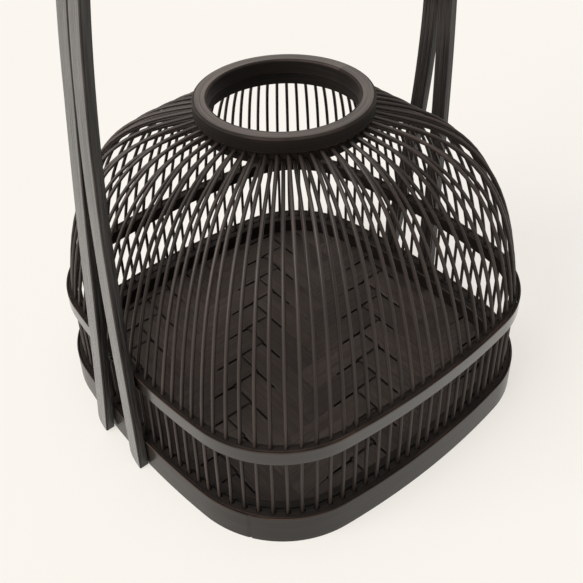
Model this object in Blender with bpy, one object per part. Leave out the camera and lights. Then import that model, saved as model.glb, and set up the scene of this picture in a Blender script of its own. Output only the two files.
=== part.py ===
"""Bamboo flower basket: splint lattice between bent hoops, ring mouth and tall arched handle.

All lengths are metres, +Z is up. The origin is the centre of the footprint on the table.
The handle stands in the XZ plane with one leg on -X and the other on +X.
"""
import math

import bmesh
import bpy
from mathutils import Vector

# clearance between neighbouring pieces that touch in the real object
GAP = 0.0003

# outline shared by all bent hoops: a square with bowed sides and round corners
HOOP_HALF = 0.1224        # half width of the base hoop over its outer band
HOOP_CORNER = 0.0638      # corner radius of that outline
HOOP_SIDE = 0.4780        # radius of the bowed sides
MID_SHRINK = 0.0012       # the mid hoop lies this far inside the base outline

# base hoop
BASE_HEIGHT = 0.0193      # outer band, standing on the table
BAND_THICK = 0.0013       # thin facing bands of base and mid hoop
LIP = 0.0004              # a facing band stands this much above its ring
BASE_RING_WIDTH = 0.0054  # ring that carries the splint feet
FRAME_WIDTH = 0.0050      # inner frame ring around the floor
FLOOR_TOP = 0.0078        # height of the floor surface
FLOOR_THICK = 0.0030

# mid hoop
MID_BOTTOM = 0.0611
MID_HEIGHT = 0.0091
MID_RING_WIDTH = 0.0044

# mouth
MOUTH_TOP = 0.1958        # top face of the mouth ring
MOUTH_RING_HEIGHT = 0.0090
MOUTH_RING_OUTER = 0.0500
MOUTH_RING_WIDTH = 0.0086
MOUTH_EASE = 0.0009       # chamfer of the two upper edges of the mouth ring
COLLAR_HEIGHT = 0.0073    # ring below the mouth ring, it takes the splint tops
COLLAR_INSET = 0.0025     # the collar lies this far inside the mouth ring
COLLAR_WALL = 0.0039

# splints
PER_SIDE = 26             # splints on each of the four sides
SPLINT_RADIUS = 0.00106
SPLINT_FACETS = 5
DOME_STEPS = 6
HIGH_ROW_DROP = 0.0024    # splint axis below the underside of the mouth ring
LOW_ROW_DROP = 0.0060
DOME_START_LEAN = -0.0179  # pull of the curve at the hoop, middle of a side
DOME_START_LEAN_GROWTH = 0.335
DOME_START_RISE = 0.730   # as a part of the dome height
DOME_START_RISE_GROWTH = 10.03
DOME_END_PULL = 0.392     # as a part of the span from ring to hoop
DOME_END_PULL_GROWTH = -1.37
DOME_END_SLOPE = 0.236

# handle: two slats side by side; the front one stays upright and the legs of the
# back one spread away from it towards the base
SLAT_WIDTH = 0.0100
SLAT_THICK = 0.0057
SLAT_EASE = 0.0010        # chamfer of the two outer edges
SLAT_JOINT_Y = -0.0032    # where the slats meet over the arch
LEG_BOTTOM = 0.0010
ARCH_START = 0.0820
ARCH_RISE = 0.3850
ARCH_SQUARENESS = 2.65
SPREAD = 0.0275           # space between the slats at table height
SPREAD_END = 0.2400       # height where the slats meet
SPREAD_POWER = 1.5
TOE_HEIGHT = 0.0085       # the leg end is rounded below this height
TOE_WIDTH = 0.20          # part of the slat width left at the very end
TOE_PARTS = (0.0, 0.10, 0.30, 0.60)  # places of the toe's sections in its height
LEG_STEPS = 3
ARCH_STEPS = 36

BASE_STEPS = 64           # facets round the pieces of the base
RING_STEPS = 48
CREASE = math.radians(35)         # edges that turn more than this are shaded sharp
SPLINT_CREASE = math.radians(75)  # leaves the sides of a splint smooth

MID_TOP = MID_BOTTOM + MID_HEIGHT
MID_RING_TOP = MID_TOP - LIP
BASE_RING_TOP = BASE_HEIGHT - LIP
BASE_RING_INSET = BAND_THICK + GAP
MID_RING_INSET = MID_SHRINK + BAND_THICK + GAP
SPLINT_INSET = MID_RING_INSET + MID_RING_WIDTH / 2
FRAME_INSET = BASE_RING_INSET + BASE_RING_WIDTH + GAP
SPLINT_LINE_SIDE = HOOP_SIDE - SPLINT_INSET
SPLINT_LINE_CORNER = HOOP_CORNER - SPLINT_INSET
SPLINT_COUNT = 4 * PER_SIDE
MOUTH_UNDERSIDE = MOUTH_TOP - MOUTH_RING_HEIGHT
MOUTH_RING_INNER = MOUTH_RING_OUTER - MOUTH_RING_WIDTH
COLLAR_OUTER = MOUTH_RING_OUTER - COLLAR_INSET
COLLAR_INNER = COLLAR_OUTER - COLLAR_WALL


def outline_at(fraction, inset):
    """Point of the hoop outline, moved inwards by inset, at a part of one full turn.

    Zero is the middle of the +X side; the turn runs towards +Y. Equal parts are equal
    lengths on the line of the splint feet.
    """
    offset = HOOP_SIDE - HOOP_HALF
    reach = HOOP_SIDE - HOOP_CORNER
    corner = (-offset + math.sqrt(2 * reach * reach - offset * offset)) / 2
    swing = math.atan2(corner, corner + offset)
    side_half = SPLINT_LINE_SIDE * swing
    corner_half = SPLINT_LINE_CORNER * (math.pi / 4 - swing)
    quarter_half = side_half + corner_half
    quarters = fraction * 4.0
    quarter = math.floor(quarters + 0.5)
    along = (quarters - quarter) * 2 * quarter_half
    sign = 1.0 if along >= 0 else -1.0
    along = abs(along)
    if along <= side_half:
        angle = along / SPLINT_LINE_SIDE
        radius = HOOP_SIDE - inset
        x, y = -offset + radius * math.cos(angle), radius * math.sin(angle)
    else:
        angle = swing + (along - side_half) / SPLINT_LINE_CORNER
        radius = HOOP_CORNER - inset
        x, y = corner + radius * math.cos(angle), corner + radius * math.sin(angle)
    y *= sign
    turn = quarter * math.pi / 2
    return Vector((x * math.cos(turn) - y * math.sin(turn),
                   x * math.sin(turn) + y * math.cos(turn)))


def material(name, colour, roughness):
    mat = bpy.data.materials.new(name)
    mat.use_nodes = True
    shader = mat.node_tree.nodes["Principled BSDF"]
    shader.inputs["Base Color"].default_value = (*colour, 1.0)
    shader.inputs["Roughness"].default_value = roughness
    shader.inputs["Metallic"].default_value = 0.0
    return mat


def new_object(name, verts, faces, mat, crease=CREASE):
    mesh = bpy.data.meshes.new(name)
    mesh.from_pydata([tuple(v) for v in verts], [], faces)
    mesh.materials.append(mat)
    bm = bmesh.new()
    bm.from_mesh(mesh)
    bmesh.ops.recalc_face_normals(bm, faces=bm.faces)
    bm.to_mesh(mesh)
    bm.free()
    mesh.shade_smooth()
    mesh.set_sharp_from_angle(angle=crease)
    obj = bpy.data.objects.new(name, mesh)
    bpy.context.collection.objects.link(obj)
    return obj


def closed_sweep(name, sections, mat):
    """Solid made of equal closed sections that run round and meet the first one again."""
    size = len(sections[0])
    verts = [v for section in sections for v in section]
    count = len(sections)
    faces = []
    for i in range(count):
        j = (i + 1) % count
        for k in range(size):
            m = (k + 1) % size
            faces.append((i * size + k, j * size + k, j * size + m, i * size + m))
    return new_object(name, verts, faces, mat)


def add_tube(verts, faces, sections):
    """Append an open sweep with flat end faces to a shared vertex and face list."""
    base = len(verts)
    size = len(sections[0])
    verts.extend(v for section in sections for v in section)
    for i in range(len(sections) - 1):
        for k in range(size):
            m = (k + 1) % size
            faces.append((base + i * size + k, base + (i + 1) * size + k,
                          base + (i + 1) * size + m, base + i * size + m))
    last = base + (len(sections) - 1) * size
    faces.append(tuple(base + k for k in range(size)))
    faces.append(tuple(last + k for k in reversed(range(size))))


def hoop(name, inset, width, bottom, top, steps, mat):
    """Bent hoop of rectangular section that follows the shared outline."""
    sections = []
    for i in range(steps):
        outer = outline_at((i - 0.5) / steps, inset)
        inner = outline_at((i - 0.5) / steps, inset + width)
        sections.append([(outer.x, outer.y, bottom), (outer.x, outer.y, top),
                         (inner.x, inner.y, top), (inner.x, inner.y, bottom)])
    return closed_sweep(name, sections, mat)


def ring(name, profile, mat):
    """Turned ring; the profile is a closed list of (radius, height)."""
    sections = []
    for i in range(RING_STEPS):
        angle = 2 * math.pi * i / RING_STEPS
        sections.append([(radius * math.cos(angle), radius * math.sin(angle), z)
                         for radius, z in profile])
    return closed_sweep(name, sections, mat)


def mouth_ring(name, mat):
    inner, outer, ease = MOUTH_RING_INNER, MOUTH_RING_OUTER, MOUTH_EASE
    return ring(name, [(outer, MOUTH_UNDERSIDE), (outer, MOUTH_TOP - ease),
                       (outer - ease, MOUTH_TOP), (inner + ease, MOUTH_TOP),
                       (inner, MOUTH_TOP - ease), (inner, MOUTH_UNDERSIDE)], mat)


def collar_ring(name, mat):
    top = MOUTH_UNDERSIDE - GAP
    bottom = top - COLLAR_HEIGHT
    return ring(name, [(COLLAR_OUTER, bottom), (COLLAR_OUTER, top),
                       (COLLAR_INNER, top), (COLLAR_INNER, bottom)], mat)


def splint_line(index):
    """Foot on the hoop, top on the collar, level direction from top to foot, and span."""
    foot = outline_at(index / SPLINT_COUNT, SPLINT_INSET)
    angle = 2 * math.pi * index / SPLINT_COUNT
    radius = COLLAR_OUTER + GAP + SPLINT_RADIUS * math.sin(DOME_END_SLOPE)
    top = Vector((radius * math.cos(angle), radius * math.sin(angle)))
    span = (foot - top).length
    return foot, top, (foot - top) / span, span


SHORTEST_SPAN = splint_line(0)[3]


def section(centre, out, slope):
    """Cross section of a splint whose axis rises inwards at this slope from level."""
    side = Vector((-out.y, out.x, 0.0))
    level = Vector((out.x, out.y, 0.0))
    normal = math.sin(slope) * level + Vector((0.0, 0.0, math.cos(slope)))
    return [centre + SPLINT_RADIUS * (math.cos(2 * math.pi * k / SPLINT_FACETS) * normal
                                      + math.sin(2 * math.pi * k / SPLINT_FACETS) * side)
            for k in range(SPLINT_FACETS)]


def splint_sections(index):
    """Sections from foot to top; the second and third lie in the faces of the mid ring."""
    foot, top, out, span = splint_line(index)
    drop = HIGH_ROW_DROP if index % 2 == 1 else LOW_ROW_DROP
    start, end = MID_RING_TOP, MOUTH_UNDERSIDE - drop
    extra = span - SHORTEST_SPAN
    lean = DOME_START_LEAN + DOME_START_LEAN_GROWTH * extra
    rise = (DOME_START_RISE + DOME_START_RISE_GROWTH * extra) * (end - start)
    pull = (DOME_END_PULL + DOME_END_PULL_GROWTH * extra) * span
    level = Vector((out.x, out.y, 0.0))
    p0 = Vector((foot.x, foot.y, start))
    p1 = p0 + level * lean + Vector((0.0, 0.0, rise))
    p3 = Vector((top.x, top.y, end))
    p2 = p3 + level * pull - Vector((0.0, 0.0, pull * math.tan(DOME_END_SLOPE)))
    sections = [section(Vector((foot.x, foot.y, z)), out, math.pi / 2)
                for z in (BASE_RING_TOP + GAP, MID_BOTTOM, start)]
    for i in range(1, DOME_STEPS + 1):
        t = i / DOME_STEPS
        u = 1 - t
        point = u ** 3 * p0 + 3 * u * u * t * p1 + 3 * u * t * t * p2 + t ** 3 * p3
        run = u * u * (p1 - p0) + 2 * u * t * (p2 - p1) + t * t * (p3 - p2)
        sections.append(section(point, out, math.atan2(run.z, -run.dot(level))))
    return sections


def zip_loops(outer, inner, middle):
    """Triangles between two loops of (vertex number, point) that both run round the middle."""
    def bearing(entry):
        return math.atan2(entry[1].y - middle.y, entry[1].x - middle.x)

    first = bearing(outer[0])

    def turn(entry):
        return (bearing(entry) - first) % (2 * math.pi)

    outer = [outer[0]] + sorted(outer[1:], key=turn)
    inner = sorted(inner, key=turn)
    a, b, faces = 0, 0, []
    while a < len(outer) or b < len(inner):
        next_a = turn(outer[a + 1]) if a + 1 < len(outer) else 2 * math.pi
        next_b = turn(inner[b]) if b < len(inner) else 4 * math.pi
        here, there = outer[a % len(outer)][0], inner[(b - 1) % len(inner)][0]
        if a < len(outer) and next_a <= next_b:
            faces.append((here, outer[(a + 1) % len(outer)][0], there))
            a += 1
        else:
            faces.append((here, inner[b][0], there))
            b += 1
    return faces


def splint_cage(name, mat):
    """Ring of the mid hoop with every splint that it carries, from foot to collar."""
    verts, faces, border = [], [], []
    for i in range(SPLINT_COUNT):
        outer = outline_at((i - 0.5) / SPLINT_COUNT, MID_RING_INSET)
        inner = outline_at((i - 0.5) / SPLINT_COUNT, MID_RING_INSET + MID_RING_WIDTH)
        border.append(len(verts))
        for z in (MID_BOTTOM, MID_RING_TOP):
            verts.append(Vector((outer.x, outer.y, z)))
            verts.append(Vector((inner.x, inner.y, z)))
    for i in range(SPLINT_COUNT):
        a, b = border[i], border[(i + 1) % SPLINT_COUNT]
        base = len(verts)
        sections = splint_sections(i)
        verts.extend(point for loop in sections for point in loop)
        foot = splint_line(i)[0]
        for level, number in ((0, 1), (2, 2)):
            cell = [a + level, b + level, b + level + 1, a + level + 1]
            hole = [base + number * SPLINT_FACETS + k for k in range(SPLINT_FACETS)]
            faces.extend(zip_loops([(n, verts[n]) for n in cell],
                                   [(n, verts[n]) for n in hole], foot))
        faces.append((a, b, b + 2, a + 2))
        faces.append((a + 1, b + 1, b + 3, a + 3))
        for number in range(len(sections) - 1):
            if number == 1:
                continue
            here = base + number * SPLINT_FACETS
            there = here + SPLINT_FACETS
            for k in range(SPLINT_FACETS):
                m = (k + 1) % SPLINT_FACETS
                faces.append((here + k, there + k, there + m, here + m))
        last = base + (len(sections) - 1) * SPLINT_FACETS
        faces.append(tuple(base + k for k in range(SPLINT_FACETS)))
        faces.append(tuple(last + k for k in reversed(range(SPLINT_FACETS))))
    return new_object(name, verts, faces, mat, SPLINT_CREASE)


def floor_panel(name, mat):
    """Flat floor inside the ring of the base hoop, held down by the frame ring."""
    steps = BASE_STEPS
    bottom = FLOOR_TOP - FLOOR_THICK
    rim = [outline_at((i - 0.5) / steps, FRAME_INSET) for i in range(steps)]
    verts = [(p.x, p.y, bottom) for p in rim] + [(p.x, p.y, FLOOR_TOP) for p in rim]
    faces = [tuple(range(steps)), tuple(steps + i for i in reversed(range(steps)))]
    for i in range(steps):
        j = (i + 1) % steps
        faces.append((i, j, steps + j, steps + i))
    return new_object(name, verts, faces, mat)


def handle_path():
    """Centre line of the handle in the XZ plane from the -X leg end to the +X leg end."""
    half = HOOP_HALF + GAP + SLAT_THICK / 2
    toes = [LEG_BOTTOM + TOE_HEIGHT * part for part in TOE_PARTS]
    straight = [LEG_BOTTOM + TOE_HEIGHT
                + (ARCH_START - LEG_BOTTOM - TOE_HEIGHT) * i / LEG_STEPS
                for i in range(LEG_STEPS)]
    leg = [Vector((half, 0.0, z)) for z in toes + straight]
    arch = []
    for i in range(ARCH_STEPS // 2 + 1):
        part = i / (ARCH_STEPS / 2)
        angle = part * math.pi / 2
        c, s = math.cos(angle), math.sin(angle)
        size = (c ** ARCH_SQUARENESS + s ** ARCH_SQUARENESS) ** (-1 / ARCH_SQUARENESS)
        arch.append(Vector((half * c * size, 0.0, ARCH_START + ARCH_RISE * s * size)))
    half_path = leg + arch
    left = [Vector((-p.x, p.y, p.z)) for p in half_path]
    return left + list(reversed(half_path[:-1]))


def slat(name, sign, spread, mat):
    """One handle slat; sign tells on which side of the joint it runs.

    Spread is how far its legs move away from the joint at table height.
    """
    path = handle_path()
    sections = []
    for i, point in enumerate(path):
        before = path[max(i - 1, 0)]
        after = path[min(i + 1, len(path) - 1)]
        tangent = (after - before).normalized()
        normal = Vector((-tangent.z, 0.0, tangent.x))
        part = max(0.0, 1.0 - point.z / SPREAD_END)
        offset = SLAT_WIDTH / 2 + GAP / 2 + spread * part ** SPREAD_POWER
        centre = SLAT_JOINT_Y + sign * offset
        low = centre - SLAT_WIDTH / 2
        high = centre + SLAT_WIDTH / 2
        if point.z < LEG_BOTTOM + TOE_HEIGHT:
            down = (LEG_BOTTOM + TOE_HEIGHT - point.z) / TOE_HEIGHT
            high = low + SLAT_WIDTH * max(TOE_WIDTH, math.sqrt(1.0 - down * down))
        ease = min(SLAT_EASE, (high - low) / 4)
        inner, outer = -SLAT_THICK / 2, SLAT_THICK / 2
        profile = [(low, inner), (high, inner), (high, outer - SLAT_EASE),
                   (high - ease, outer), (low + ease, outer), (low, outer - SLAT_EASE)]
        sections.append([Vector((point.x, y, point.z)) + normal * out
                         for y, out in profile])
    verts, faces = [], []
    add_tube(verts, faces, sections)
    return new_object(name, verts, faces, mat)


def build():
    for obj in list(bpy.data.objects):
        bpy.data.objects.remove(obj, do_unlink=True)
    hoop_mat = material("stained_bamboo_hoop", (0.075, 0.068, 0.062), 0.45)
    ring_mat = material("stained_bamboo_ring", (0.060, 0.052, 0.048), 0.50)
    splint_mat = material("stained_bamboo_splint", (0.040, 0.031, 0.029), 0.40)
    slat_mat = material("stained_bamboo_slat", (0.070, 0.062, 0.058), 0.45)
    floor_mat = material("woven_bamboo_floor", (0.055, 0.048, 0.044), 0.60)

    hoop("base_band", 0.0, BAND_THICK, 0.0, BASE_HEIGHT,
         BASE_STEPS, hoop_mat)
    hoop("base_ring", BASE_RING_INSET, BASE_RING_WIDTH, 0.0, BASE_RING_TOP,
         BASE_STEPS, ring_mat)
    hoop("floor_frame", FRAME_INSET, FRAME_WIDTH, FLOOR_TOP + GAP, BASE_RING_TOP,
         BASE_STEPS, ring_mat)
    floor_panel("floor_panel", floor_mat)
    hoop("mid_band", MID_SHRINK, BAND_THICK, MID_BOTTOM, MID_TOP,
         SPLINT_COUNT, hoop_mat)
    splint_cage("splint_cage", splint_mat)
    mouth_ring("mouth_ring", ring_mat)
    collar_ring("collar_ring", ring_mat)
    slat("handle_slat_front", -1.0, 0.0, slat_mat)
    slat("handle_slat_back", 1.0, SPREAD, slat_mat)


build()
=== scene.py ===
import math
import random

import bmesh
import bpy
import numpy as np
from mathutils import Matrix, Vector


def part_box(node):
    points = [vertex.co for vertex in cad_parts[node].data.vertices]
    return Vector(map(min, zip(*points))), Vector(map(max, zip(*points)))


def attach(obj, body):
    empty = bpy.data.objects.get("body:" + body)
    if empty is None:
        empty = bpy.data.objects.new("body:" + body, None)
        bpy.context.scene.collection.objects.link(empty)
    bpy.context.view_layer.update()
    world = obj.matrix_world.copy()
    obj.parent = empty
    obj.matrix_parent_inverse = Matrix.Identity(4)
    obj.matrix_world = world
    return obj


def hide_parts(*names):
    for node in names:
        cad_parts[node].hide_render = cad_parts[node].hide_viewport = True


# Handled flower basket of black-brown stained bamboo. Lengths are metres, +Z is up, the
# origin is the centre of the footprint on the table, and the handle stands in the XZ plane.

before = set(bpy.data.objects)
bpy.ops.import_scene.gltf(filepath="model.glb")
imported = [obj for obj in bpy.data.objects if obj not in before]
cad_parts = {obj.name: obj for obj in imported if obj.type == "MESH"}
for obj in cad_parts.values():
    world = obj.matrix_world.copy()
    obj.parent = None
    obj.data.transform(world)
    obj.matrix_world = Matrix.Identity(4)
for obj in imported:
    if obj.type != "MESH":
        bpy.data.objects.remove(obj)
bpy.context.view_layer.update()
base_band_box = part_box("base_band")
base_ring_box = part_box("base_ring")
floor_frame_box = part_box("floor_frame")
floor_panel_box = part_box("floor_panel")
mid_band_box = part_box("mid_band")
mouth_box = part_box("mouth_ring")
collar_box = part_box("collar_ring")
front_slat_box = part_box("handle_slat_front")

# outline shared by all bent hoops: a square with bowed sides and round corners
HOOP_HALF = base_band_box[1].y
HOOP_CORNER = 0.0638
HOOP_SIDE = 0.4780
BAND_THICK = 0.0013
CLEAR = 0.0003
MID_SHRINK = HOOP_HALF - mid_band_box[1].y
BASE_TOP = base_band_box[1].z
BASE_RING_TOP = base_ring_box[1].z
BASE_RING_INSET = BAND_THICK + CLEAR
BASE_RING_WIDTH = 0.0054
FRAME_INSET = BASE_RING_INSET + BASE_RING_WIDTH + CLEAR
FRAME_WIDTH = 0.0050
FRAME_BOTTOM = floor_frame_box[0].z
MID_BOTTOM = mid_band_box[0].z
MID_TOP = mid_band_box[1].z
MID_RING_INSET = MID_SHRINK + BAND_THICK + CLEAR
MID_RING_WIDTH = 0.0044
LIP = BASE_TOP - BASE_RING_TOP
SPLINT_INSET = MID_RING_INSET + MID_RING_WIDTH / 2

# mouth
MOUTH_TOP = mouth_box[1].z
MOUTH_UNDERSIDE = mouth_box[0].z
MOUTH_OUTER = mouth_box[1].y
MOUTH_WIDTH = 0.0086
COLLAR_TOP = collar_box[1].z
COLLAR_BOTTOM = collar_box[0].z
COLLAR_OUTER = collar_box[1].y
COLLAR_WALL = 0.0039

# splints and their bores
SPLINT_COUNT = 104
SPLINT_RADIUS = 0.00106
SPLINT_SIDES = 10
SPLINT_SWAY = 0.0011       # twice the most that a splint strays from its line on one axis
SWAY_SCALE = 14.0
SWAY_APART = 3.7           # from the sway of one splint to that of the next, in the noise
GRAIN_APART = 0.37         # the same for the fibre lines, in metres along the splint
SPLINT_SEED = 5
DOME_STEPS = 22
HIGH_ROW_DROP = 0.0024
LOW_ROW_DROP = 0.0060
DOME_START_LEAN = -0.0179
DOME_START_LEAN_GROWTH = 0.335
DOME_START_RISE = 0.730
DOME_START_RISE_GROWTH = 10.03
DOME_END_PULL = 0.392
DOME_END_PULL_GROWTH = -1.37
DOME_END_SLOPE = 0.236
FOOT_BORE = 0.00155
FOOT_DEPTH = 0.0030
FOOT_SUNK = 0.0024         # part of a splint foot that stands in its bore
MID_BORE = 0.00125
BORE_SIDES = 12
COLLAR_BORE = (0.00118, 0.00148)   # half width and half height
COLLAR_BORE_DEPTH = 0.0016
TOP_SUNK = 0.7 * COLLAR_BORE_DEPTH

# rounded edges, and points round each hoop and ring
RING_EASE = 0.0004
FRAME_EASE = 0.0006
COLLAR_EASE = 0.0003
MOUTH_EASE = 0.0014
BAND_EASE = 0.0004
BAND_STEPS = 260
FRAME_STEPS = 208
MOUTH_STEPS = 144

# handle
SLAT_WIDTH = 0.0100
SLAT_THICK = 0.0057
SLAT_JOINT_Y = -0.0032
LEG_BOTTOM = front_slat_box[0].z
LEG_OUT = front_slat_box[1].x - SLAT_THICK / 2
ARCH_START = 0.0820
ARCH_RISE = front_slat_box[1].z - SLAT_THICK / 2 - ARCH_START
ARCH_SQUARENESS = 2.65
SPREAD = 0.0275
SPREAD_END = 0.2400
SPREAD_POWER = 1.5
TOE_HEIGHT = 0.0085
TOE_WIDTH = 0.20

# the woven floor: strips along X and along Y, over three and under three
WEAVE_X = 0.0087           # an edge line of the strips along Y, at WEAVE_Y
WEAVE_Y = 0.0317           # an edge line of the strips along X
PITCH_X = 0.01903
PITCH_Y = 0.01784
WEAVE_SKEW = 0.048         # the strips along Y lean towards +X by this
STRIP_GAP = 0.0002
OPEN_GAP = 0.0012          # where a strip comes up beside its neighbour the joint stands open
STRIP_THICK = 0.0008
STRIP_END_INSET = 0.0012   # from the outside of the floor frame, under which the strips end
SHORTEST_STRIP = 0.02
STRIP_ROWS = 8             # rows on each side of WEAVE_X and of WEAVE_Y
END_CELLS = 0.15           # least distance from a strip's end to a line across it, in cells
# painted shade: the tone of a strip where it runs under others
UNDER_PAINTED_SHADE = -4.2          # darkens a strip under others, so that open joints look dark
FLOAT_CELLS = 3
WEAVE_LIFT = 0.00045       # half the height between a strip above and a strip below
WEAVE_BOW = 0.00040
WEAVE_EDGE_DROP = 0.00030
WEAVE_DROP = 0.00055       # middle of the weave below the top of the floor
DIVE_CELLS = 0.3           # half the length over which a strip dives, in cells
EDGE_POWER = 8.0           # keeps the drop of a strip's edges close to its edges
WELD = 0.000002
BACKING_THICK = 0.0009

OUTLINE_OFFSET = HOOP_SIDE - HOOP_HALF
OUTLINE_REACH = HOOP_SIDE - HOOP_CORNER
CORNER_AT = (-OUTLINE_OFFSET
             + math.sqrt(2 * OUTLINE_REACH ** 2 - OUTLINE_OFFSET ** 2)) / 2
SWING = math.atan2(CORNER_AT, CORNER_AT + OUTLINE_OFFSET)
LINE_SIDE = HOOP_SIDE - SPLINT_INSET
LINE_CORNER = HOOP_CORNER - SPLINT_INSET
SIDE_LENGTH = LINE_SIDE * SWING
CORNER_LENGTH = LINE_CORNER * (math.pi / 4 - SWING)
LINE_LENGTH = 8 * (SIDE_LENGTH + CORNER_LENGTH)


def outline(turn, inset=0.0):
    """Points of the hoop outline, moved inwards by inset, at parts of one turn from +X.

    Equal parts are equal lengths on the line of the splint feet.
    """
    turn = np.asarray(turn, float)
    quarter = np.floor(turn * 4 + 0.5)
    along = (turn * 4 - quarter) * LINE_LENGTH / 4
    sign, along = np.where(along >= 0, 1.0, -1.0), np.abs(along)
    on_side = along <= SIDE_LENGTH
    angle = np.where(on_side, along / LINE_SIDE, SWING + (along - SIDE_LENGTH) / LINE_CORNER)
    radius = np.where(on_side, HOOP_SIDE, HOOP_CORNER) - inset
    x = np.where(on_side, -OUTLINE_OFFSET, CORNER_AT) + radius * np.cos(angle)
    y = (np.where(on_side, 0.0, CORNER_AT) + radius * np.sin(angle)) * sign
    spin = quarter * math.pi / 2
    return np.stack((x * np.cos(spin) - y * np.sin(spin),
                     x * np.sin(spin) + y * np.cos(spin)), -1)


def on_hoop(turn, inset, z):
    x, y = outline(turn, inset)
    return (float(x), float(y), z)


def on_ring(turn, radius, z):
    return (radius * math.cos(2 * math.pi * turn), radius * math.sin(2 * math.pi * turn), z)


def linear(code):
    """A colour written as sRGB hex, as the linear RGBA that a shader takes."""
    parts = [int(code[i:i + 2], 16) / 255 for i in (1, 3, 5)]
    return tuple(c / 12.92 if c <= 0.04045 else ((c + 0.055) / 1.055) ** 2.4
                 for c in parts) + (1.0,)


def add(tree, kind, sockets=None, **settings):
    """Adds a node. A socket gets a link where its value is a socket, and else the value."""
    node = tree.nodes.new(kind)
    for name, value in settings.items():
        setattr(node, name, value)
    for key, value in (sockets or {}).items():
        if isinstance(value, bpy.types.NodeSocket):
            tree.links.new(value, node.inputs[key])
        else:
            node.inputs[key].default_value = value
    return node


def calc(tree, operation, *values, **settings):
    """The output of a math node on these values."""
    return add(tree, "ShaderNodeMath", dict(enumerate(values)), operation=operation,
               **settings).outputs[0]


class Solid:
    """Closed bodies of one piece: points, faces, and the place of each face corner in the fibres.

    A place is (across, through, along) in metres, so a pattern on it follows the bent piece.
    Worn is 1 on edges that hands and cloth rub. Skin is 1 on the outer skin of the stem, 0 on
    a cut face and -1 in a bore or a narrow gap, which is painted black as shade.
    """

    def __init__(self):
        self.points, self.worn, self.tone = [], [], []
        self.faces, self.places, self.skin = [], [], []

    def point(self, position, worn=0.0, tone=0.0):
        self.points.append(tuple(position))
        self.worn.append(worn)
        self.tone.append(tone)
        return len(self.points) - 1

    def face(self, corners, places, skin=0.0):
        self.faces.append(tuple(corners))
        self.places.extend(places)
        self.skin.append(skin)

    def sweep(self, sections, profiles, along, closed=False, without=(), tone=0.0):
        """Skins equal sections; profiles give (across, through, worn, skin) for each point."""
        size, count, first = len(sections[0]), len(sections), len(self.points)
        if not isinstance(profiles[0], list):
            profiles = [profiles] * count
        for positions, profile in zip(sections, profiles):
            for position, entry in zip(positions, profile):
                self.point(position, entry[2], tone)
        for i in range(count if closed else count - 1):
            j = (i + 1) % count
            here, there = profiles[i], profiles[j]
            for k in range(size):
                if k in without:
                    continue
                m = (k + 1) % size
                self.face((first + i * size + k, first + j * size + k,
                           first + j * size + m, first + i * size + m),
                          ((*here[k][:2], along[i]), (*there[k][:2], along[i + 1]),
                           (*there[m][:2], along[i + 1]), (*here[m][:2], along[i])),
                          here[k][3])
        if not closed:
            last = first + (count - 1) * size
            for start, profile, length in ((first, profiles[0], along[0]),
                                           (last, profiles[-1], along[count - 1])):
                self.face([start + k for k in range(size)],
                          [(*entry[:2], length) for entry in profile])
        return first

    def zip_loops(self, border, rim):
        """Triangles between the border of a cell and the rim of its bore.

        Both are lists of (point number, place, (u, v)) round the middle of the bore.
        """
        def turn(entry):
            return (math.atan2(entry[2][1], entry[2][0]) - first) % (2 * math.pi)

        first = math.atan2(border[0][2][1], border[0][2][0])
        border = [border[0]] + sorted(border[1:], key=turn)
        rim = sorted(rim, key=turn)
        a = b = 0
        while a < len(border) or b < len(rim):
            next_a = turn(border[a + 1]) if a + 1 < len(border) else 2 * math.pi
            next_b = turn(rim[b]) if b < len(rim) else 4 * math.pi
            here, there = border[a % len(border)], rim[(b - 1) % len(rim)]
            if a < len(border) and next_a <= next_b:
                third = border[(a + 1) % len(border)]
                a += 1
            else:
                third = rim[b]
                b += 1
            corners = (here, third, there)
            self.face([c[0] for c in corners], [c[1] for c in corners])

    def finish(self, name, material, slot, nodes, crease=40):
        mesh = bpy.data.meshes.new(name)
        mesh.from_pydata(self.points, [], self.faces)
        for label, kind, domain, values in (("grain", "FLOAT_VECTOR", "CORNER", self.places),
                                            ("worn", "FLOAT", "POINT", self.worn),
                                            ("tone", "FLOAT", "POINT", self.tone),
                                            ("skin", "FLOAT", "FACE", self.skin)):
            layer = mesh.attributes.new(label, kind, domain)
            layer.data.foreach_set("vector" if kind == "FLOAT_VECTOR" else "value",
                                   np.asarray(values, np.float32).ravel())
        mesh.materials.append(material)
        settle(name, mesh, nodes, crease)


def settle(name, mesh, nodes, crease):
    """Turns the faces outwards, shades them by their area, and hands the piece over."""
    bm = bmesh.new()
    bm.from_mesh(mesh)
    bmesh.ops.recalc_face_normals(bm, faces=bm.faces)
    bm.to_mesh(mesh)
    bm.free()
    mesh.shade_smooth()
    mesh.set_sharp_from_angle(angle=math.radians(crease))
    piece = bpy.data.objects.new(name, mesh)
    bpy.context.collection.objects.link(piece)
    weighting = piece.modifiers.new("face_area_shading", "WEIGHTED_NORMAL")
    weighting.keep_sharp = True
    plain = evaluated_mesh(piece)
    piece.modifiers.remove(weighting)
    piece.data = plain
    plain.name = name
    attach(piece, "root")
    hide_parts(*nodes)


def evaluated_mesh(obj):
    depsgraph = bpy.context.evaluated_depsgraph_get()
    return bpy.data.meshes.new_from_object(obj.evaluated_get(depsgraph),
                                           preserve_all_data_layers=True, depsgraph=depsgraph)


def grown(source, tree, values):
    """The plain mesh that a node tree makes from the layout in the source mesh."""
    layout = bpy.data.objects.new("layout", source)
    bpy.context.collection.objects.link(layout)
    modifier = layout.modifiers.new("nodes", "NODES")
    modifier.node_group = tree
    for item in tree.interface.items_tree:
        if item.item_type == "SOCKET" and item.in_out == "INPUT" and item.name in values:
            modifier[item.identifier] = values[item.name]
    mesh = evaluated_mesh(layout)
    layout.modifiers.remove(modifier)
    bpy.data.objects.remove(layout, do_unlink=True)
    return mesh


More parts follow.
